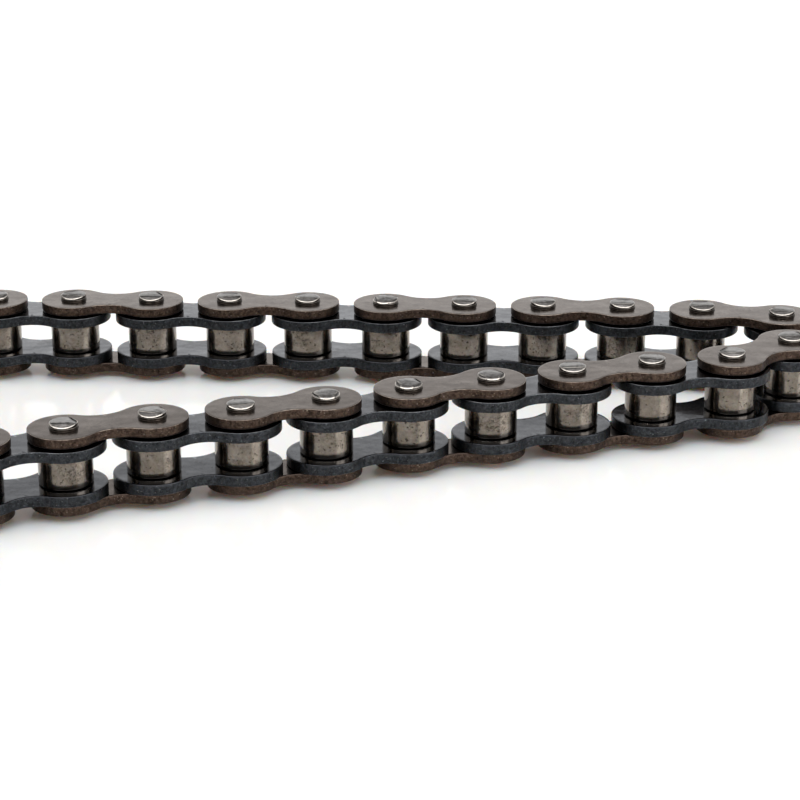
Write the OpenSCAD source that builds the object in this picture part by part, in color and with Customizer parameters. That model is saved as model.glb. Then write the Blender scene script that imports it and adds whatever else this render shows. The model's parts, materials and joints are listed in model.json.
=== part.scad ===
// Length of short-pitch roller chain, 24 pitches, lying on its side and folded
// back on itself in a hairpin. Millimetres, +Z up. The pins stand upright and
// their lower ends rest on z = 0. The origin is the middle of the chain's
// bounding box, on the surface that the chain lies on.
//
// The chain is numbered along its length, from the free inner link at one end
// (pin line 0) to the free outer link at the other (pin line 24).

/* [Chain] */
// Distance between neighbouring pin centres
pitch = 12.7; // [12.5:0.1:12.9]
// Distance between the faces of an inner link's two plates
inner_width = 4.9; // [4.7:0.1:5.5]
// Play between an inner plate and the outer plate beside it, with the link in the middle
side_play = 0.15; // [0.15:0.05:0.5]

/* [Plates] */
// Thickness of an outer plate
outer_t = 1.5; // [1.2:0.1:2]
// Thickness of an inner plate
inner_t = 1.6; // [1.3:0.1:2.1]
// Height of an outer plate at its round ends
outer_h = 10.3; // [9.8:0.1:10.8]
// Height of an outer plate at its waist
outer_waist = 6.2; // [5.8:0.1:6.6]
// Height of an inner plate at its round ends
inner_h = 11.7; // [11.2:0.1:11.9]
// Height of an inner plate at its waist
inner_waist = 7.6; // [7.2:0.1:8]

/* [Pins, bushes and rollers] */
// Diameter of a pin
pin_d = 4.09; // [4:0.01:4.1]
// Length of pin that stands proud of each outer plate
pin_proud = 0.9; // [0.4:0.1:1.2]
// Bore of a bush
bush_bore = 4.2; // [4.16:0.01:4.24]
// Outside diameter of a bush
bush_d = 5.6; // [5.4:0.05:5.62]
// Length of bush that stands proud of each inner plate
bush_proud = 0.05; // [0.01:0.01:0.08]
// Bore of a roller
roller_bore = 5.7; // [5.68:0.01:5.75]
// Outside diameter of a roller
roller_d = 7.75; // [7.6:0.05:7.8]
// Gap between a roller's end and the inner plate
roller_gap = 0.1; // [0.05:0.05:0.2]

/* [Hidden] */
$fn = 64;

// Direction of each link in plan, in degrees from +X, as the chain lies folded
heading = [
    1, 0, 0, -3, -2, -3, -4, -4, -3, -4, -6, -13,
    -92, -143, -167, -163, -164, -163, -160, -161, -165, -160, -160, -160
];
links = len(heading);
pairs = links / 2;

pin_chamfer = 0.25;
roller_chamfer = 0.35;
dimple_d = 1.4;
dimple_depth = 0.2;
// Radial gap that keeps pressed-in pins and bushes as solids of their own
press_gap = 0.02;
// How far the inner links have slid down the pins from the middle of their play
link_drop = 0.05;
// How much larger a waist arc is than one that would run on smoothly into the
// round ends, which it therefore meets at a shallow corner
waist_ease = 1.06;

stack_h = 2 * (outer_t + side_play + inner_t) + inner_width;
pin_length = stack_h + 2 * pin_proud;
z_outer = [pin_proud, pin_proud + stack_h - outer_t];
z_inner_low = z_outer[0] + outer_t + side_play - link_drop;
z_inner = [z_inner_low, z_inner_low + inner_t + inner_width];
z_roller = z_inner[0] + inner_t + roller_gap;
z_bush = z_inner[0] - bush_proud;
roller_length = inner_width - 2 * roller_gap;
bush_length = inner_width + 2 * (inner_t + bush_proud);

// Centre of pin line i in plan, counted from pin line 0
function walk(i) = i == 0
    ? [0, 0]
    : walk(i - 1) + pitch * [cos(heading[i - 1]), sin(heading[i - 1])];

// Radius of the widest plate end round pin line i
function end_r(i) = (i == links ? outer_h : inner_h) / 2;

low_corner = [for (axis = [0, 1]) min([for (i = [0:links]) walk(i)[axis] - end_r(i)])];
high_corner = [for (axis = [0, 1]) max([for (i = [0:links]) walk(i)[axis] + end_r(i)])];

// Centre of pin line i in the chain's own frame
function pin_line(i) = walk(i) - (low_corner + high_corner) / 2;

function numbered(stem, k) = str(stem, k < 10 ? "_0" : "_", k);

// Puts its children on link n, with the link's first pin line at the origin
// and its second one pitch along +X
module on_link(n) {
    translate(concat(pin_line(n - 1), 0)) rotate(heading[n - 1]) children();
}

// Repeats its children on both pin lines of a link
module both_ends() {
    for (x = [0, pitch]) translate([x, 0]) children();
}

// Figure-of-eight outline of a link plate
module plate_outline(height, waist) {
    r = height / 2;
    tangent_r = (pow(pitch / 2, 2) + pow(waist / 2, 2) - pow(r, 2)) / (height - waist);
    waist_r = waist_ease * tangent_r;
    arc_y = waist / 2 + waist_r;
    web_half = r * arc_y / norm([pitch / 2, arc_y]);

    both_ends() circle(r = r);
    difference() {
        translate([0, -web_half]) square([pitch, 2 * web_half]);
        for (side = [-1, 1]) translate([pitch / 2, side * arc_y]) circle(r = waist_r);
    }
}

// Two plates of a link, each with a hole on both pin lines
module plate_pair(height, waist, thickness, hole_d, levels) {
    for (z = levels) translate([0, 0, z]) linear_extrude(thickness) difference() {
        plate_outline(height, waist);
        both_ends() circle(d = hole_d);
    }
}

// Riveted pin: chamfered ends, each with a shallow dimple from the punch
module pin() {
    r = pin_d / 2;
    half_section = [
        [0, dimple_depth],
        [dimple_d / 2, 0],
        [r - pin_chamfer, 0],
        [r, pin_chamfer],
        [r, pin_length - pin_chamfer],
        [r - pin_chamfer, pin_length],
        [dimple_d / 2, pin_length],
        [0, pin_length - dimple_depth]
    ];
    rotate_extrude() polygon(half_section);
}

// Plain tube that is pressed into both plates of an inner link
module bush() {
    translate([0, 0, z_bush]) linear_extrude(bush_length) difference() {
        circle(d = bush_d);
        circle(d = bush_bore);
    }
}

// Roller with broken outer corners, free to turn on its bush
module roller_body() {
    r = roller_d / 2;
    half_section = [
        [roller_bore / 2, 0],
        [r - roller_chamfer, 0],
        [r, roller_chamfer],
        [r, roller_length - roller_chamfer],
        [r - roller_chamfer, roller_length],
        [roller_bore / 2, roller_length]
    ];
    translate([0, 0, z_roller]) rotate_extrude() polygon(half_section);
}

// Inner link k: two plates with two bushes pressed into them
module inner_link(k) {
    color([0.30, 0.32, 0.35]) on_link(2 * k - 1) {
        plate_pair(inner_h, inner_waist, inner_t, bush_d + 2 * press_gap, z_inner);
        both_ends() bush();
    }
}

// The two plates of outer link k
module outer_plates(k) {
    color([0.42, 0.36, 0.32]) on_link(2 * k)
        plate_pair(outer_h, outer_waist, outer_t, pin_d + 2 * press_gap, z_outer);
}

// The two pins of outer link k, which turn in the bushes of the links beside it
module pins(k) {
    color([0.66, 0.64, 0.60]) on_link(2 * k) both_ends() pin();
}

// Roller m, on pin line m - 1
module roller(m) {
    color([0.60, 0.57, 0.52]) translate(concat(pin_line(m - 1), 0)) roller_body();
}

for (k = [1:pairs]) {
    inner_link(k);
    outer_plates(k);
    pins(k);
}
for (m = [1:links]) {
    roller(m);
}
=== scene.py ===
import json
import math

import bmesh
import bpy
import numpy as np
from mathutils import Matrix, Vector, noise


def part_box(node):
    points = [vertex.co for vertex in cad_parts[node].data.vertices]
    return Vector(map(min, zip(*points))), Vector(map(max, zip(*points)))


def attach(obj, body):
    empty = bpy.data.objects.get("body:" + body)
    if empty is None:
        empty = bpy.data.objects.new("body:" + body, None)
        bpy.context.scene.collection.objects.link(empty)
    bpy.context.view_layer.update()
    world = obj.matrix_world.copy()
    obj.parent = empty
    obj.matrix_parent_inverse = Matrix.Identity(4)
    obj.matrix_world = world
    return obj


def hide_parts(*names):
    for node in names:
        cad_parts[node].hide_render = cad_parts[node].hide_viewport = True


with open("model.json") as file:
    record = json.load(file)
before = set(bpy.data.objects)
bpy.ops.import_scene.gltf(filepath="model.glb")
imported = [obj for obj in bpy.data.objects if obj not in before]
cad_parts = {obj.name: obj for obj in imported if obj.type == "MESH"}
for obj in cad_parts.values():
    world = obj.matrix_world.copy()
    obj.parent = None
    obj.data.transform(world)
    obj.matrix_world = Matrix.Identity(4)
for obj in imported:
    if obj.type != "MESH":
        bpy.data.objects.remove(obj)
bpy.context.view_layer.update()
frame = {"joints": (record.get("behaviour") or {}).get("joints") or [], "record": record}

# ---------------------------------------------------------------- sizes, in metres

MM = 0.001
PITCH = 12.7 * MM
OUTER_T = 1.5 * MM
INNER_T = 1.6 * MM
OUTER_H = 10.3 * MM
OUTER_WAIST = 6.2 * MM
INNER_H = 11.7 * MM
INNER_WAIST = 7.6 * MM
PIN_R = 2.045 * MM
PIN_PROUD = 0.9 * MM
BUSH_R = 2.8 * MM
BUSH_BORE_R = 2.1 * MM
BUSH_PROUD = 0.05 * MM
ROLLER_R = 3.875 * MM
ROLLER_BORE_R = 2.85 * MM
PRESS_GAP = 0.02 * MM
LINKS = 24

# Corners that the solids don't have. Blanking rolls one corner of a plate's edge, the one that
# faces the rollers, and leaves the other one crisp.
OUTER_ROLL = 0.23 * MM
INNER_ROLL = 0.18 * MM
CRISP_CORNER = 0.07 * MM
HOLE_BREAK = 0.07 * MM
BUSH_BREAK = 0.12 * MM
ROLLER_BORE_BREAK = 0.1 * MM
ROLLER_CORNER = 0.2 * MM
CORNER_STEPS = 4
ROLLER_CORNER_STEPS = 5
BUSH_TURNS = 72
ROLLER_TURNS = 96

# Points nearer than this are one point, and points nearer a cutting plane than this lie on it
MERGE_GAP = 1e-7
CUT_GAP = 1e-8
SHARP_ANGLE = math.radians(35)

# ---------------------------------------------------------------- places, from the frame


def numbered(stem, k):
    return f"{stem}_{k:02d}"


def pin_line_places():
    """The pin lines in plan: the joints give all but the two free ends, which are mounts."""
    hinges = [j for j in frame["joints"] if j["name"].startswith("pin_hinge")]
    places = {int(j["name"][-2:]): j["pos_m"] for j in hinges}
    mounts = {m["name"]: m["pos_m"] for m in frame["record"]["mounts"]}
    places[0] = mounts["end_bush_bore"]
    places[LINKS] = mounts["end_outer_link_pin"]
    return [Vector((places[i][0], places[i][1], 0)) for i in range(LINKS + 1)]


PIN_LINES = pin_line_places()


def link_matrix(n):
    """Link n's own frame: its first pin line at the origin and its second one pitch along +X."""
    start, end = PIN_LINES[n - 1], PIN_LINES[n]
    turn = math.atan2(end.y - start.y, end.x - start.x)
    return Matrix.Translation(start) @ Matrix.Rotation(turn, 4, "Z")


def levels(node):
    """Lowest and highest level of a CAD node."""
    low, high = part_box(node)
    return low.z, high.z


# ---------------------------------------------------------------- mesh helpers


class Shell:
    """Points, faces and masks that a piece is collected in.

    The side mask is 0 on a ground or flat face and 1 on a sheared or turned wall; on a pin's
    flats, values between them paint shade along the creases and, with an oil tint, on the sloping
    flats. The rim mask is above 0 where wear and a painted highlight brighten an edge and below 0
    where a painted shade darkens it.
    """

    def __init__(self):
        self.points, self.faces, self.side, self.rim = [], [], [], []

    def add_rows(self, rows, closed_round, closed_along=False, flip=False):
        """Joins rows of points into a band of quads. Each row is (points, side mask, rim mask)."""
        start = len(self.points)
        count = len(rows[0][0])
        for points, side, rim in rows:
            self.points.extend(points)
            self.side.extend([side] * count)
            self.rim.extend([rim] * count)
        row_pairs = list(zip(range(len(rows) - 1), range(1, len(rows))))
        if closed_along:
            row_pairs.append((len(rows) - 1, 0))
        for r0, r1 in row_pairs:
            for i in range(count if closed_round else count - 1):
                j = (i + 1) % count
                a, b = start + r0 * count, start + r1 * count
                quad = [a + i, a + j, b + j, b + i]
                self.faces.append(quad[::-1] if flip else quad)

    def mirrored(self, x_sum):
        """The shell's mirror image: x becomes x_sum - x."""
        other = Shell()
        other.points = [(x_sum - x, y, z) for x, y, z in self.points]
        other.faces = [f[::-1] for f in self.faces]
        other.side, other.rim = list(self.side), list(self.rim)
        return other

    def join(self, other):
        start = len(self.points)
        self.points.extend(other.points)
        self.faces.extend([[start + i for i in f] for f in other.faces])
        self.side.extend(other.side)
        self.rim.extend(other.rim)
        return self

    def to_bmesh(self):
        bm = bmesh.new()
        side, rim = bm.verts.layers.float.new("side"), bm.verts.layers.float.new("rim")
        for point, side_value, rim_value in zip(self.points, self.side, self.rim):
            v = bm.verts.new(point)
            v[side], v[rim] = side_value, rim_value
        bm.verts.ensure_lookup_table()
        for f in self.faces:
            bm.faces.new([bm.verts[i] for i in f])
        return bm, side, rim

    def take_bmesh(self, bm):
        """Adds a bmesh made by to_bmesh, and frees it."""
        side, rim = bm.verts.layers.float["side"], bm.verts.layers.float["rim"]
        bm.verts.index_update()
        for v in bm.verts:
            self.points.append(tuple(v.co))
            self.side.append(v[side])
            self.rim.append(v[rim])
        self.faces.extend([[v.index for v in f.verts] for f in bm.faces])
        bm.free()
        return self

    def build(self, name, material):
        """Makes the object, with the masks as attributes of its mesh."""
        mesh = bpy.data.meshes.new(name)
        mesh.from_pydata(self.points, [], self.faces)
        for label, values in (("side", self.side), ("rim", self.rim)):
            layer = mesh.attributes.new(label, "FLOAT", "POINT")
            layer.data.foreach_set("value", np.array(values, np.float32))
        bm = bmesh.new()
        bm.from_mesh(mesh)
        bmesh.ops.remove_doubles(bm, verts=bm.verts, dist=MERGE_GAP)
        bm.to_mesh(mesh)
        bm.free()
        mesh.materials.append(material)
        mesh.shade_smooth()
        mesh.set_sharp_from_angle(angle=SHARP_ANGLE)
        piece = bpy.data.objects.new(name, mesh)
        bpy.context.scene.collection.objects.link(piece)
        return piece


# ---------------------------------------------------------------- link plates


def plate_half_outline(height, waist):
    """Half of a plate's outline, round the hole at the origin, with its outward normals."""
    r = height / 2
    arc_r = ((PITCH / 2) ** 2 + (waist / 2) ** 2 - r ** 2) / (height - waist)
    arc_y = waist / 2 + arc_r
    meet = math.atan2(arc_y, PITCH / 2)
    waist_steps = 14
    end_steps = 104
    points, normals = [], []
    for i in range(waist_steps):
        a = -math.pi / 2 - (math.pi / 2 - meet) * i / waist_steps
        points.append((PITCH / 2 + arc_r * math.cos(a), arc_y + arc_r * math.sin(a)))
        normals.append((-math.cos(a), -math.sin(a)))
    for i in range(end_steps + 1):
        a = meet + (2 * math.pi - 2 * meet) * i / end_steps
        points.append((r * math.cos(a), r * math.sin(a)))
        normals.append((math.cos(a), math.sin(a)))
    for i in range(waist_steps - 1, -1, -1):
        x, y = points[i]
        points.append((x, -y))
        normals.append((normals[i][0], -normals[i][1]))
    return points, normals


# How far out the rings of points on a plate's face lie, from the hole's mouth to the corner
FACE_RINGS = (0.0, 0.2, 0.4, 0.6, 0.8, 0.92, 1.0)


def plate(height, waist, thickness, hole_r, z_low, roll, roll_up):
    """A blanked plate, with its rolled corner on top if roll_up is true, and else underneath."""
    outline, normals = plate_half_outline(height, waist)
    middle_steps = 9
    middle = [(PITCH / 2, -waist / 2 + waist * i / middle_steps) for i in range(1, middle_steps)]
    loop = outline + middle
    angles = [math.atan2(y, x) for x, y in loop]
    z_high = z_low + thickness
    top_r, low_r = (roll, CRISP_CORNER) if roll_up else (CRISP_CORNER, roll)
    mouth_r = hole_r + HOLE_BREAK

    def face_rows(by, z):
        edge = waist / 2 - by
        outer = [(x - nx * by, y - ny * by) for (x, y), (nx, ny) in zip(outline, normals)]
        outer += [(x, y * edge / (waist / 2)) for x, y in middle]
        rows = []
        for share in FACE_RINGS:
            ring = []
            for (x, y), a in zip(outer, angles):
                hx, hy = mouth_r * math.cos(a), mouth_r * math.sin(a)
                ring.append((hx + (x - hx) * share, hy + (y - hy) * share, z))
            rows.append((ring, 0.0, 0.0))
        return rows

    half = Shell()
    half.add_rows(face_rows(top_r, z_high), True, flip=True)
    half.add_rows(face_rows(low_r, z_low), True)

    # hole wall with a small break at each mouth
    def hole_ring(r, z, side, rim):
        return [(r * math.cos(a), r * math.sin(a), z) for a in angles], side, rim

    half.add_rows([
        hole_ring(mouth_r, z_low, 0.0, 0.0),
        hole_ring(hole_r, z_low + HOLE_BREAK, 0.6, 0.2),
        hole_ring(hole_r, z_high - HOLE_BREAK, 0.6, 0.2),
        hole_ring(mouth_r, z_high, 0.0, 0.0),
    ], True, flip=True)

    # outer edge, from the top corner down: each corner is a quarter round; a crisp one gets wear
    # and a painted highlight, a rolled one a painted shade
    def edge_ring(by, z, side, rim):
        ring = [(x - nx * by, y - ny * by, z) for (x, y), (nx, ny) in zip(outline, normals)]
        return ring, side, rim

    rows = []
    for i in range(CORNER_STEPS + 1):
        a = math.pi / 2 * i / CORNER_STEPS
        by, down = top_r * (1 - math.sin(a)), top_r * (1 - math.cos(a))
        rim = -min(1.0, 2 * math.sin(2 * a)) if roll_up else math.sin(2 * a)
        rows.append(edge_ring(by, z_high - down, i / CORNER_STEPS, rim))
    wall_steps = 4
    for i in range(1, wall_steps):
        z = z_high - top_r - (thickness - top_r - low_r) * i / wall_steps
        rows.append(edge_ring(0, z, 1.0, 0.0))
    for i in range(CORNER_STEPS + 1):
        a = math.pi / 2 * i / CORNER_STEPS
        by, up = low_r * (1 - math.cos(a)), low_r * (1 - math.sin(a))
        rim = math.sin(2 * a) if roll_up else -0.8 * math.sin(2 * a)
        rows.append(edge_ring(by, z_low + up, 1 - i / CORNER_STEPS, rim))
    half.add_rows(rows, False, flip=True)
    return Shell().join(half).join(half.mirrored(PITCH))


# ---------------------------------------------------------------- pins, bushes, rollers


# Wall of a pin's end, as (radius share, height over the plate in mm, side mask, rim mask)
PIN_WALL = (
    (1.000, -0.40, 1.0, 0.0),
    (1.000, -0.03, 1.0, 0.0),
    (0.975, 0.01, 1.0, 0.0),
    (0.985, 0.08, 1.0, 0.0),
    (0.992, 0.26, 1.0, 0.0),
    # the ledge under the spread head, with a painted highlight along it (side 0.8, rim 0.3)
    (0.982, 0.32, 0.8, 0.3),
    (0.955, 0.34, 1.0, 0.0),
    (0.955, 0.42, 1.0, 0.0),
    (0.970, 0.52, 1.0, 0.0),
    (0.980, 0.68, 1.0, 0.0),
    (0.975, 0.79, 0.8, 0.0),
    (0.950, 0.93, 0.5, 0.0),
)
PIN_TURNS = 96

# How far the wall is out of round, in radii, and how far the seam in it wanders up and down, in mm
WALL_WAVE = 0.007
SEAM_LIFT = 0.04
SEAM_BAND = (0.2, 0.5)

# The cut end: its height over the plate, its lean, and the crown inside each flat's sloping edge
PIN_TOP = 0.735 * MM
PIN_LEAN = 0.018
PIN_CROWN = 0.085 * MM
PIN_CROWN_EDGE = 0.19 * MM

# Most ends have one wide front flat, and the others have a front flat between two side flats. All
# have a shallow back flat. TURN is in radians, CHORD is the distance from the axis in radii, and
# FALL is the drop from there to the wall in mm.
ONE_FRONT_SHARE = 0.8
FRONT_TURN = (-0.3, 0.3)
WIDE_CHORD = (0.26, 0.42)
WIDE_FALL = (0.26, 0.31)
NARROW_CHORD = (0.48, 0.60)
NARROW_FALL = 0.32
SIDE_TURN = (0.85, 1.05)
SIDE_CHORD = (0.60, 0.72)
SIDE_FALL = 0.30
BACK_TURN = (-1.2, 1.2)
BACK_CHORD = (0.70, 0.85)
BACK_FALL = (0.08, 0.16)

# Upright part of a face's normal from which it counts as a flat, and as a level one
FLAT_NORMAL = 0.8
LEVEL_NORMAL = 0.995
SMALLEST_FLAT = 0.12 * MM * MM

# Radius share from which a flat's corner lies on the pin's rim, and the side mask of a sloping
# flat,
# which darkens it towards the wall colour: partly an oil tint, partly painted shade
RIM_SHARE = 0.9
SLOPE_OIL_AND_SHADE = 0.55

# How far apart the random seeds lie: of a pin's two ends, and of two links' pins
END_SEED_STEP = 500
LINK_SEED_STEP = 10


def pin_flats(rng, front):
    """Flats left by the riveting tool, each as (direction, chord, fall). Front is a direction."""
    turn = rng.uniform(*FRONT_TURN)
    if rng.uniform() < ONE_FRONT_SHARE:
        flats = [(front + turn, rng.uniform(*WIDE_CHORD), rng.uniform(*WIDE_FALL))]
    else:
        flats = []
        for side in (-1, 1):
            direction = front + turn + side * rng.uniform(*SIDE_TURN)
            flats.append((direction, rng.uniform(*SIDE_CHORD), SIDE_FALL))
        flats.append((front + turn, rng.uniform(*NARROW_CHORD), NARROW_FALL))
    back = front + math.pi + rng.uniform(*BACK_TURN)
    flats.append((back, rng.uniform(*BACK_CHORD), rng.uniform(*BACK_FALL)))
    return flats


def pin_wall_rows(x, face_z, sign, seed):
    """Rings of one end's wall, from below the plate's face up to where the flats are cut."""
    # where in the noise this end's dents are read, so that no two ends are alike
    dent = Vector((seed * 3.7, seed * 1.3, sign))
    rows = []
    for share, height, side, rim in PIN_WALL:
        ring = []
        for i in range(PIN_TURNS):
            a = 2 * math.pi * i / PIN_TURNS
            dx, dy = math.cos(a), math.sin(a)
            wave = WALL_WAVE * noise.noise(Vector((2 * dx, 2 * dy, height * 3)) + dent)
            lift = SEAM_LIFT * noise.noise(Vector((1.5 * dx, 1.5 * dy, 4)) + dent)
            r = PIN_R * (share + (wave if height > 0 else 0))
            up = height + (lift if SEAM_BAND[0] < height < SEAM_BAND[1] else 0)
            ring.append((x + r * dx, r * dy, face_z + sign * up * MM))
        rows.append((ring, side, rim))
    return rows


def pin(x, z_low, z_high, seed, front):
    """A riveted pin as one closed surface: a turned wall whose ends are cut to crowned flats."""
    ends = ((z_low + PIN_PROUD, -1, seed), (z_high - PIN_PROUD, 1, seed + END_SEED_STEP))
    low_rows, high_rows = (pin_wall_rows(x, *end) for end in ends)
    shell = Shell()
    shell.add_rows(low_rows[::-1] + high_rows, True)
    bm, side, rim = shell.to_bmesh()
    for face_z, sign, end_seed in ends:
        rng = np.random.default_rng(end_seed)
        top_z = face_z + sign * PIN_TOP
        top_normal = Vector((*rng.uniform(-PIN_LEAN, PIN_LEAN, 2), sign))
        planes = [(Vector((x, 0, top_z)), top_normal)]
        for direction, chord, fall in pin_flats(rng, front):
            dx, dy = math.cos(direction), math.sin(direction)
            slope = fall * MM / ((1 - chord) * PIN_R)
            start = Vector((x + chord * PIN_R * dx, chord * PIN_R * dy, top_z))
            planes.append((start, Vector((slope * dx, slope * dy, sign))))
        for start, normal in planes:
            whole = bm.verts[:] + bm.edges[:] + bm.faces[:]
            cut = bmesh.ops.bisect_plane(
                bm, geom=whole, dist=CUT_GAP, plane_co=start, plane_no=normal, clear_outer=True)
            edges = [e for e in cut["geom_cut"] if isinstance(e, bmesh.types.BMEdge)]
            bmesh.ops.edgeloop_fill(bm, edges=edges)
    bmesh.ops.recalc_face_normals(bm, faces=bm.faces)
    if bm.calc_volume(signed=True) < 0:
        bmesh.ops.reverse_faces(bm, faces=bm.faces)
    flats = [f for f in bm.faces if abs(f.normal.z) > FLAT_NORMAL and f.calc_area() > SMALLEST_FLAT]
    flats.sort(key=lambda f: -abs(f.normal.z))
    for f in flats:
        level = abs(f.normal.z) > LEVEL_NORMAL
        for v in f.verts:
            # Painted highlight: the corners of a flat on the pin's rim get the rim mask, 1 on a
            # sloping flat and 0.3 on the level top.
            at_rim = math.hypot(v.co.x - x, v.co.y) > RIM_SHARE * PIN_R
            # Painted shade: a flat's corners inside the end, along the crease between flats, are
            # darkened towards the wall colour (side mask 0.4).
            v[side], v[rim] = (0.0, 0.3 if level else 1.0) if at_rim else (0.4, 0.0)
    bmesh.ops.inset_individual(
        bm, faces=flats, thickness=PIN_CROWN_EDGE, depth=PIN_CROWN, use_even_offset=True)
    # Oil tint and painted shade: a sloping flat is darkened towards the wall colour; the level top
    # keeps the end colour.
    for f in flats:
        oil_and_shade = 0.0 if abs(f.normal.z) > LEVEL_NORMAL else SLOPE_OIL_AND_SHADE
        for v in f.verts:
            v[side], v[rim] = oil_and_shade, 0.0
    return Shell().take_bmesh(bm)


def tube_rows(x, inner_r, outer_r, z_low, z_high, inner_cut, outer_cut, turns, outer_steps):
    """A closed ring section with broken inner corners and rounded outer ones."""
    profile = [
        (inner_r, z_low + inner_cut, 1.0, 0.0),
        (inner_r + inner_cut, z_low, 0.5, 0.5),
        (outer_r - outer_cut, z_low, 0.5, 0.0),
    ]
    corner = []
    for i in range(1, outer_steps + 1):
        a = math.pi / 2 * i / outer_steps
        corner.append((outer_cut * (1 - math.sin(a)), outer_cut * (1 - math.cos(a))))
    body_steps = 4
    body_height = z_high - z_low - 2 * outer_cut
    profile += [(outer_r - by, z_low + up, 0.0, 0.0) for by, up in corner]
    for i in range(1, body_steps):
        profile.append((outer_r, z_low + outer_cut + body_height * i / body_steps, 0.0, 0.0))
    profile += [(outer_r - by, z_high - down, 0.0, 0.0) for by, down in corner[::-1]]
    profile += [
        (outer_r - outer_cut, z_high, 0.5, 0.0),
        (inner_r + inner_cut, z_high, 0.5, 0.5),
        (inner_r, z_high - inner_cut, 1.0, 0.0),
    ]
    angles = [2 * math.pi * i / turns for i in range(turns)]
    rows = []
    for r, z, side, rim in profile:
        ring = [(x + r * math.cos(a), r * math.sin(a), z) for a in angles]
        rows.append((ring, side, rim))
    return rows


# ---------------------------------------------------------------- materials

SPAN_SOCKETS = ("From Min", "From Max", "To Min", "To Max")

# Sockets of a mix node for values and for colours
MIX_FACTOR = 0
MIX_VALUES = (2, 3)
MIX_VALUE_OUT = 0
MIX_COLOURS = (6, 7)
MIX_COLOUR_OUT = 2


class Nodes:
    """Short forms for the nodes that the materials share. Most return the socket they end in."""

    def __init__(self, name):
        self.material = bpy.data.materials.new(name)
        self.material.use_nodes = True
        self.tree = self.material.node_tree
        self.tree.nodes.clear()
        out = self.tree.nodes.new("ShaderNodeOutputMaterial")
        self.surface = self.tree.nodes.new("ShaderNodeBsdfPrincipled")
        self.link(self.surface.outputs["BSDF"], out.inputs["Surface"])
        self.coords = self.tree.nodes.new("ShaderNodeTexCoord")

    def link(self, a, b):
        self.tree.links.new(a, b)

    def stretched(self, scale):
        """The object's coordinates, scaled axis by axis."""
        node = self.tree.nodes.new("ShaderNodeMapping")
        node.inputs["Scale"].default_value = scale
        self.link(self.coords.outputs["Object"], node.inputs["Vector"])
        return node.outputs["Vector"]

    def noise(self, scale, detail, rough, stretch=(1, 1, 1)):
        node = self.tree.nodes.new("ShaderNodeTexNoise")
        node.inputs["Scale"].default_value = scale
        node.inputs["Detail"].default_value = detail
        node.inputs["Roughness"].default_value = rough
        self.link(self.stretched(stretch), node.inputs["Vector"])
        return node.outputs["Fac"]

    def mask(self, name):
        """A mask that the Shell gave the mesh."""
        node = self.tree.nodes.new("ShaderNodeAttribute")
        node.attribute_name = name
        return node.outputs["Fac"]

    def span(self, source, low, high, to_low, to_high):
        """Stretches low to high over to_low to to_high, and holds it there outside."""
        node = self.tree.nodes.new("ShaderNodeMapRange")
        for name, value in zip(SPAN_SOCKETS, (low, high, to_low, to_high)):
            node.inputs[name].default_value = value
        self.link(source, node.inputs["Value"])
        return node.outputs["Result"]

    def mix(self, factor, a, b):
        """Mixes two colours, each of them a socket or three numbers."""
        node = self.tree.nodes.new("ShaderNodeMix")
        node.data_type = "RGBA"
        self.link(factor, node.inputs[MIX_FACTOR])
        for socket, colour in zip(MIX_COLOURS, (a, b)):
            if isinstance(colour, bpy.types.NodeSocket):
                self.link(colour, node.inputs[socket])
            else:
                node.inputs[socket].default_value = (*colour, 1)
        return node.outputs[MIX_COLOUR_OUT]

    def blend(self, factor, a, b):
        """Mixes two values, both of them sockets."""
        node = self.tree.nodes.new("ShaderNodeMix")
        self.link(factor, node.inputs[MIX_FACTOR])
        for socket, value in zip(MIX_VALUES, (a, b)):
            self.link(value, node.inputs[socket])
        return node.outputs[MIX_VALUE_OUT]

    def maths(self, kind, a, b):
        node = self.tree.nodes.new("ShaderNodeMath")
        node.operation = kind
        self.link(a, node.inputs[0])
        self.link(b, node.inputs[1])
        return node.outputs["Value"]

    def bump(self, height, distance, strength=1.0, under=None):
        """A bump whose full height is the distance, over the bump under it, if there is one."""
        node = self.tree.nodes.new("ShaderNodeBump")
        node.inputs["Strength"].default_value = strength
        node.inputs["Distance"].default_value = distance
        self.link(height, node.inputs["Height"])
        if under is not None:
            self.link(under, node.inputs["Normal"])
        return node.outputs["Normal"]

    def finish(self, colour, roughness, normal):
        """Makes the surface bare metal and returns the material."""
        self.link(colour, self.surface.inputs["Base Color"])
        self.link(roughness, self.surface.inputs["Roughness"])
        self.link(normal, self.surface.inputs["Normal"])
        self.surface.inputs["Metallic"].default_value = 1.0
        return self.material


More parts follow.
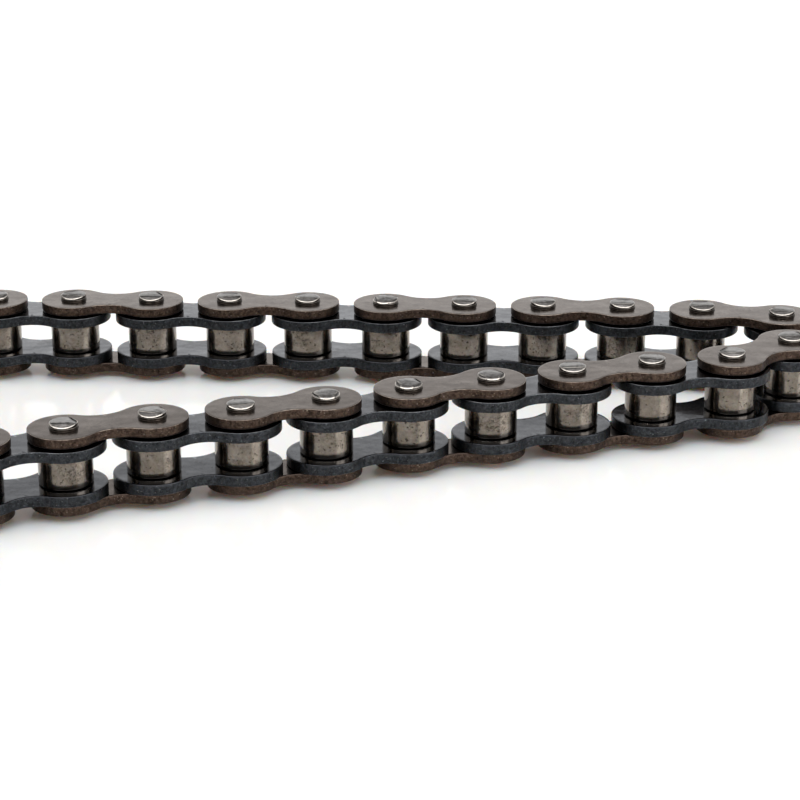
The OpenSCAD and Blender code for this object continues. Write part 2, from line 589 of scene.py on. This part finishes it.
def plate_steel(name, face, edge, worn_and_highlight, stain, face_rough, edge_rough):
    """Heat-coloured blanked steel: a satin face, a darker sheared edge, worn crisp corners with a
    painted highlight, and rolled corners darkened by a painted shade in the stain colour.
    """
    n = Nodes(name)
    side, rim = n.mask("side"), n.mask("rim")
    cloud = n.noise(260, 6, 0.8)
    fine = n.noise(1900, 3, 0.6)
    face = n.mix(n.span(cloud, 0.34, 0.66, 0, 1), *face)
    patch = n.span(n.noise(170, 3, 0.6), 0.52, 0.66, 0, 1)
    smudge = n.maths("MULTIPLY", patch, n.span(fine, 0.45, 0.62, 0, 0.55))
    face = n.mix(smudge, face, stain)
    fleck = n.span(n.noise(3300, 2, 0.5), 0.62, 0.70, 0, 0.6)
    face = n.mix(fleck, face, stain)
    streak = n.noise(2300, 4, 0.7, (1, 1, 0.25))
    mottle = n.noise(1900, 4, 0.8)
    edge = n.mix(n.span(mottle, 0.35, 0.65, 0, 1), *edge)
    speck = n.span(n.noise(4200, 3, 0.6), 0.64, 0.72, 0, 0.7)
    edge = n.mix(speck, edge, worn_and_highlight)
    colour = n.mix(side, face, edge)
    # Painted shade: the rolled corners, where the rim mask is below 0, are darkened towards the
    # stain colour.
    colour = n.mix(n.span(rim, -1, 0, 0.85, 0), colour, stain)
    # Wear and painted highlight: crisp corners, where the rim mask is above 0, are brightened in
    # patches towards the worn colour.
    wear_and_highlight = n.maths("MULTIPLY", rim, n.span(n.noise(620, 5, 0.75), 0.44, 0.60, 0.12, 0.9))
    colour = n.mix(wear_and_highlight, colour, worn_and_highlight)
    rough_face = n.span(fine, 0.3, 0.7, face_rough - 0.03, face_rough + 0.06)
    rough_edge = n.span(streak, 0.3, 0.7, edge_rough - 0.12, edge_rough + 0.12)
    roughness = n.blend(side, rough_face, rough_edge)
    waves = n.bump(n.noise(170, 2, 0.5), 0.08 * MM)
    grain = n.bump(fine, 0.002 * MM, 0.5, waves)
    cuts = n.maths("MULTIPLY", n.maths("ADD", streak, mottle), side)
    normal = n.bump(cuts, 0.05 * MM, 0.8, grain)
    return n.finish(colour, roughness, normal)


def roller_steel(name, ground, stain, roughness):
    """Ground steel with a faint turned grain, a few small pits and a thin tarnish."""
    n = Nodes(name)
    cloud = n.noise(650, 6, 0.85)
    rings = n.noise(600, 3, 0.6, (0.25, 0.25, 5))
    pits = n.noise(2100, 2, 0.5)
    colour = n.mix(n.span(cloud, 0.34, 0.66, 0, 1), *ground)
    patch = n.span(n.noise(260, 2, 0.5), 0.50, 0.62, 0, 1)
    scuff = n.maths("MULTIPLY", patch, n.span(n.noise(2300, 4, 0.8), 0.46, 0.60, 0, 0.75))
    colour = n.mix(scuff, colour, stain)
    colour = n.mix(n.span(pits, 0.61, 0.68, 0, 0.85), colour, stain)
    rough = n.span(rings, 0.3, 0.7, roughness - 0.03, roughness + 0.05)
    grain = n.bump(rings, 0.0015 * MM, 0.5)
    normal = n.bump(n.span(pits, 0.66, 0.8, 1, 0), 0.012 * MM, 0.7, grain)
    return n.finish(colour, rough, normal)


def pin_steel(name, end, wall, highlight_colour):
    """Blackened pin: a dark wall, and a bare, hammered end with a painted highlight at its rim."""
    n = Nodes(name)
    side, rim = n.mask("side"), n.mask("rim")
    hammered = n.noise(1700, 4, 0.7)
    end = n.mix(n.span(hammered, 0.36, 0.62, 0, 1), *end)
    streak = n.noise(1500, 4, 0.6, (1, 1, 0.3))
    wall = n.mix(n.span(streak, 0.35, 0.7, 0, 1), *wall)
    colour = n.mix(side, end, wall)
    # Painted highlight: the rim mask brightens the end's rim, in patches, towards the highlight
    # colour.
    painted_highlight = n.maths("MULTIPLY", rim, n.span(n.noise(800, 3, 0.6), 0.3, 0.5, 0.5, 1))
    colour = n.mix(painted_highlight, colour, highlight_colour)
    rough_end = n.span(hammered, 0.3, 0.7, 0.26, 0.42)
    rough_wall = n.span(hammered, 0.3, 0.7, 0.3, 0.45)
    roughness = n.blend(side, rough_end, rough_wall)
    dents = n.bump(n.noise(850, 2, 0.5), 0.07 * MM)
    normal = n.bump(hammered, 0.02 * MM, 0.7, dents)
    return n.finish(colour, roughness, normal)


# A colour given as a pair is mottled from the darker to the lighter of the two
# The plates' stain colour also paints the shade on their rolled corners, and their worn colour the
# highlight on their crisp corners.
OUTER_STEEL = plate_steel(
    "outer_plate_steel",
    face=((0.101, 0.080, 0.068), (0.166, 0.136, 0.118)),
    edge=((0.012, 0.008, 0.006), (0.082, 0.056, 0.043)),
    worn_and_highlight=(0.40, 0.33, 0.275), stain=(0.060, 0.044, 0.036), face_rough=0.16, edge_rough=0.46)
INNER_STEEL = plate_steel(
    "inner_link_steel",
    face=((0.088, 0.093, 0.107), (0.146, 0.153, 0.169)),
    edge=((0.010, 0.011, 0.012), (0.043, 0.046, 0.051)),
    worn_and_highlight=(0.22, 0.23, 0.24), stain=(0.035, 0.036, 0.040), face_rough=0.11, edge_rough=0.42)
PIN_STEEL = pin_steel(
    "pin_steel",
    end=((0.13, 0.125, 0.12), (0.34, 0.33, 0.325)),
    wall=((0.022, 0.018, 0.015), (0.062, 0.050, 0.042)), highlight_colour=(0.67, 0.62, 0.56))
ROLLER_STEEL = roller_steel(
    "roller_steel",
    ground=((0.117, 0.098, 0.080), (0.242, 0.214, 0.184)),
    stain=(0.026, 0.021, 0.017), roughness=0.17)

# ---------------------------------------------------------------- the chain


def place(shell, name, material, node, body, matrix):
    """Makes the piece in its link's own frame and puts it where the CAD node is."""
    piece = shell.build(name, material)
    piece.data.transform(matrix)
    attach(piece, body)
    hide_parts(node)


def make_outer_link(k):
    matrix = link_matrix(2 * k)
    body = numbered("outer_link", k)
    node = numbered("outer_plates", k)
    z_low, z_high = levels(node)
    shell = Shell()
    for z, roll_up in ((z_low, True), (z_high - OUTER_T, False)):
        shell.join(plate(OUTER_H, OUTER_WAIST, OUTER_T, PIN_R + PRESS_GAP, z, OUTER_ROLL, roll_up))
    name = numbered("outer_plates_look", k)
    place(shell, name, OUTER_STEEL, node, body, matrix)

    node = numbered("pins", k)
    z_low, z_high = levels(node)
    shell = Shell()
    # the front flat of every pin faces about -Y, whichever way its link points
    front = -math.pi / 2 - matrix.to_euler().z
    for i, x in enumerate((0, PITCH)):
        shell.join(pin(x, z_low, z_high, LINK_SEED_STEP * k + i, front))
    name = numbered("pins_look", k)
    place(shell, name, PIN_STEEL, node, body, matrix)


def make_inner_link(k):
    matrix = link_matrix(2 * k - 1)
    node = body = numbered("inner_link", k)
    z_low, z_high = levels(node)
    shell = Shell()
    for z, roll_up in ((z_low + BUSH_PROUD, True), (z_high - BUSH_PROUD - INNER_T, False)):
        shell.join(plate(INNER_H, INNER_WAIST, INNER_T, BUSH_R + PRESS_GAP, z, INNER_ROLL, roll_up))
    for x in (0, PITCH):
        bush = tube_rows(
            x, BUSH_BORE_R, BUSH_R, z_low, z_high, BUSH_BREAK, BUSH_BREAK, BUSH_TURNS, CORNER_STEPS)
        shell.add_rows(bush, True, closed_along=True)
    name = numbered("inner_link_look", k)
    place(shell, name, INNER_STEEL, node, body, matrix)


def make_roller(m):
    node = body = numbered("roller", m)
    z_low, z_high = levels(node)
    shell = Shell()
    tube = tube_rows(
        0, ROLLER_BORE_R, ROLLER_R, z_low, z_high, ROLLER_BORE_BREAK, ROLLER_CORNER,
        ROLLER_TURNS, ROLLER_CORNER_STEPS)
    shell.add_rows(tube, True, closed_along=True)
    matrix = Matrix.Translation(PIN_LINES[m - 1])
    place(shell, numbered("roller_look", m), ROLLER_STEEL, node, body, matrix)


for k in range(1, LINKS // 2 + 1):
    make_outer_link(k)
    make_inner_link(k)
for m in range(1, LINKS + 1):
    make_roller(m)

# ---------------------------------------------------------------- stage, light and camera

FLOOR_REACH = 3.0
FLOOR_COLOUR = (0.78, 0.772, 0.758, 1)

# The tent's glow, by a direction's height and by its depth: (from, to, glow at from, glow at to)
GLOW_BY_HEIGHT = (0.27, 0.40, 1.32, 0.50)
GLOW_BY_DEPTH = (-0.25, 0.30, 0.30, 1.0)

# The camera stands in front of the chain. Its lens and sensor are in mm.
CAMERA_PLACE = (0.01519, -0.33796, 0.1292)
CAMERA_LENS = 107.7
CAMERA_SENSOR = 36
CAMERA_LOOKS_DOWN = math.radians(19.9)
CAMERA_ROLL = math.radians(-0.135)


def make_floor():
    mesh = bpy.data.meshes.new("floor")
    far = FLOOR_REACH
    corners = [(-far, -far, 0), (far, -far, 0), (far, far, 0), (-far, far, 0)]
    mesh.from_pydata(corners, [], [(0, 1, 2, 3)])
    n = Nodes("floor_white")
    sockets = n.surface.inputs
    sockets["Base Color"].default_value = FLOOR_COLOUR
    sockets["Roughness"].default_value = 0.13
    sockets["Specular IOR Level"].default_value = 0.5
    sockets["Subsurface Weight"].default_value = 0.7
    sockets["Subsurface Radius"].default_value = (1.0, 0.68, 0.46)
    sockets["Subsurface Scale"].default_value = 9 * MM
    mesh.materials.append(n.material)
    floor = bpy.data.objects.new("floor", mesh)
    bpy.context.scene.collection.objects.link(floor)


def make_light(name, energy, location, target, size):
    light = bpy.data.lights.new(name, "AREA")
    light.energy = energy
    light.shape = "RECTANGLE"
    light.size, light.size_y = size
    lamp = bpy.data.objects.new(name, light)
    lamp.location = location
    lamp.rotation_euler = (Vector(target) - Vector(location)).to_track_quat("-Z", "Y").to_euler()
    bpy.context.scene.collection.objects.link(lamp)


def make_world():
    """A tent that glows near the horizon behind the chain and is dim in front of it and above."""
    world = bpy.data.worlds.new("studio")
    bpy.context.scene.world = world
    world.use_nodes = True
    tree = world.node_tree
    background = tree.nodes["Background"]
    background.inputs["Color"].default_value = (1.0, 0.995, 0.985, 1)
    coords = tree.nodes.new("ShaderNodeTexCoord")
    axes = tree.nodes.new("ShaderNodeSeparateXYZ")
    tree.links.new(coords.outputs["Generated"], axes.inputs["Vector"])
    shares = []
    for axis, spans in (("Z", GLOW_BY_HEIGHT), ("Y", GLOW_BY_DEPTH)):
        share = tree.nodes.new("ShaderNodeMapRange")
        share.interpolation_type = "SMOOTHSTEP"
        for name, value in zip(SPAN_SOCKETS, spans):
            share.inputs[name].default_value = value
        tree.links.new(axes.outputs[axis], share.inputs["Value"])
        shares.append(share)
    strength = tree.nodes.new("ShaderNodeMath")
    strength.operation = "MULTIPLY"
    for i, share in enumerate(shares):
        tree.links.new(share.outputs["Result"], strength.inputs[i])
    tree.links.new(strength.outputs["Value"], background.inputs["Strength"])


def make_camera():
    camera_data = bpy.data.cameras.new("camera")
    camera_data.lens = CAMERA_LENS
    camera_data.sensor_width = CAMERA_SENSOR
    camera_data.clip_start, camera_data.clip_end = 0.01, 20
    camera = bpy.data.objects.new("camera", camera_data)
    camera.location = CAMERA_PLACE
    pitch = Matrix.Rotation(math.pi / 2 - CAMERA_LOOKS_DOWN, 3, "X")
    roll = Matrix.Rotation(CAMERA_ROLL, 3, "Z")
    camera.rotation_euler = (pitch @ roll).to_euler()
    bpy.context.scene.collection.objects.link(camera)
    bpy.context.scene.camera = camera


make_floor()
make_world()
make_light(
    "top_softbox", energy=15,
    location=(0, -0.22, 0.9), target=(0, -0.22, 0), size=(1.4, 1.0))
make_light(
    "side_softbox", energy=0.42,
    location=(0.30, -0.16, 0.10), target=(0.04, -0.03, 0), size=(0.22, 0.12))
make_light(
    "front_strip", energy=1.3,
    location=(0.05, -0.62, 0.025), target=(0.02, -0.05, 0.01), size=(1.1, 0.035))
make_camera()
bpy.context.scene.view_settings.view_transform = "Standard"
